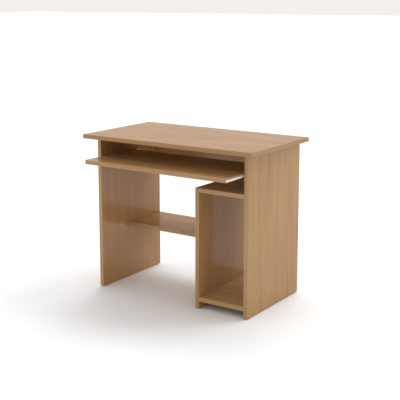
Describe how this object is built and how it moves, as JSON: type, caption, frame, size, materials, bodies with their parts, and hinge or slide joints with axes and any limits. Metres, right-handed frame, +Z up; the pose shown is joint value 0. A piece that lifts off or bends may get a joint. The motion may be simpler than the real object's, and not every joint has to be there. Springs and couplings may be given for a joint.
{
  "type": "computer desk",
  "caption": "Computer desk of wood-look boards with a sliding keyboard tray on roller runners, an open computer bay, a footrest shelf and a back rail.",
  "frame": {"origin": "on the floor, centred on the desk's width, and midway between the front of the drawn-out keyboard tray and the back of the desk", "axes": "+X is the sitter's right, where the computer bay is; +Y is the back of the desk; +Z is up"},
  "size_m": [0.9, 0.574, 0.732],
  "materials": {
    "wood_look_melamine": "semi-gloss beech-look melamine on chipboard, fine straight grain",
    "wood_look_edging": "beech-look plastic edging strip with a rounded edge, satin",
    "white_epoxy_steel": "white epoxy powder coat on bent steel strip, semi-gloss",
    "white_nylon": "moulded white nylon",
    "zinc_plated_steel": "bright zinc-plated steel",
    "die_cast_zinc": "plain die-cast zinc alloy",
    "wood_tone_cap": "moulded cap in the boards' tone, satin",
    "dowel_beech": "plain fluted beech",
    "brown_polyethylene": "dark brown moulded polyethylene"
  },
  "bodies": {
    "desk": {"tabletop": "wood_look_melamine", "left_side_panel": "wood_look_melamine", "right_side_panel": "wood_look_melamine", "cpu_divider": "wood_look_melamine", "cpu_top_shelf": "wood_look_melamine", "cpu_bottom_shelf": "wood_look_melamine", "footrest_shelf": "wood_look_melamine", "back_rail": "wood_look_melamine", "tabletop_edging": "wood_look_edging", "left_panel_edging": "wood_look_edging", "right_panel_edging": "wood_look_edging", "cpu_divider_edging": "wood_look_edging", "cpu_top_shelf_edging": "wood_look_edging", "cpu_bottom_shelf_edging": "wood_look_edging", "footrest_edging": "wood_look_edging", "back_rail_edging": "wood_look_edging", "left_cabinet_runner": "white_epoxy_steel", "right_cabinet_runner": "white_epoxy_steel", "front_roller_pins": "zinc_plated_steel", "cabinet_runner_screws": "zinc_plated_steel", "cam_bolts": "zinc_plated_steel", "glide_nails": "zinc_plated_steel", "cam_housings": "die_cast_zinc", "cam_cover_caps": "wood_tone_cap", "wooden_dowels": "dowel_beech", "floor_glides": "brown_polyethylene"},
    "tray": {"keyboard_tray": "wood_look_melamine", "keyboard_tray_edging": "wood_look_edging", "left_tray_runner": "white_epoxy_steel", "right_tray_runner": "white_epoxy_steel", "rear_roller_pins": "zinc_plated_steel", "tray_runner_screws": "zinc_plated_steel"},
    "left_front_roller": {"left_front_roller": "white_nylon"},
    "right_front_roller": {"right_front_roller": "white_nylon"},
    "left_rear_roller": {"left_rear_roller": "white_nylon"},
    "right_rear_roller": {"right_rear_roller": "white_nylon"}
  },
  "joints": [
    {"name": "tray_slide", "type": "slide", "parent": "desk", "child": "tray", "axis": [0, -1, 0], "range_m": [-0.124, 0.062]},
    {"name": "left_front_roller_spin", "type": "hinge", "parent": "desk", "child": "left_front_roller", "pos_m": [-0.3794, -0.129, 0.616], "axis": [1, 0, 0], "range_deg": [-960, 490]},
    {"name": "right_front_roller_spin", "type": "hinge", "parent": "desk", "child": "right_front_roller", "pos_m": [0.3794, -0.129, 0.616], "axis": [1, 0, 0], "range_deg": [-960, 490]},
    {"name": "left_rear_roller_spin", "type": "hinge", "parent": "tray", "child": "left_rear_roller", "pos_m": [-0.3794, -0.045, 0.6182], "axis": [1, 0, 0], "range_deg": [-960, 490]},
    {"name": "right_rear_roller_spin", "type": "hinge", "parent": "tray", "child": "right_rear_roller", "pos_m": [0.3794, -0.045, 0.6182], "axis": [1, 0, 0], "range_deg": [-960, 490]}
  ],
  "couplings": [
    {"joint": "left_front_roller_spin", "follows": "tray_slide", "rad_per_m": 133.33},
    {"joint": "right_front_roller_spin", "follows": "tray_slide", "rad_per_m": 133.33},
    {"joint": "left_rear_roller_spin", "follows": "tray_slide", "rad_per_m": 133.33},
    {"joint": "right_rear_roller_spin", "follows": "tray_slide", "rad_per_m": 133.33}
  ]
}
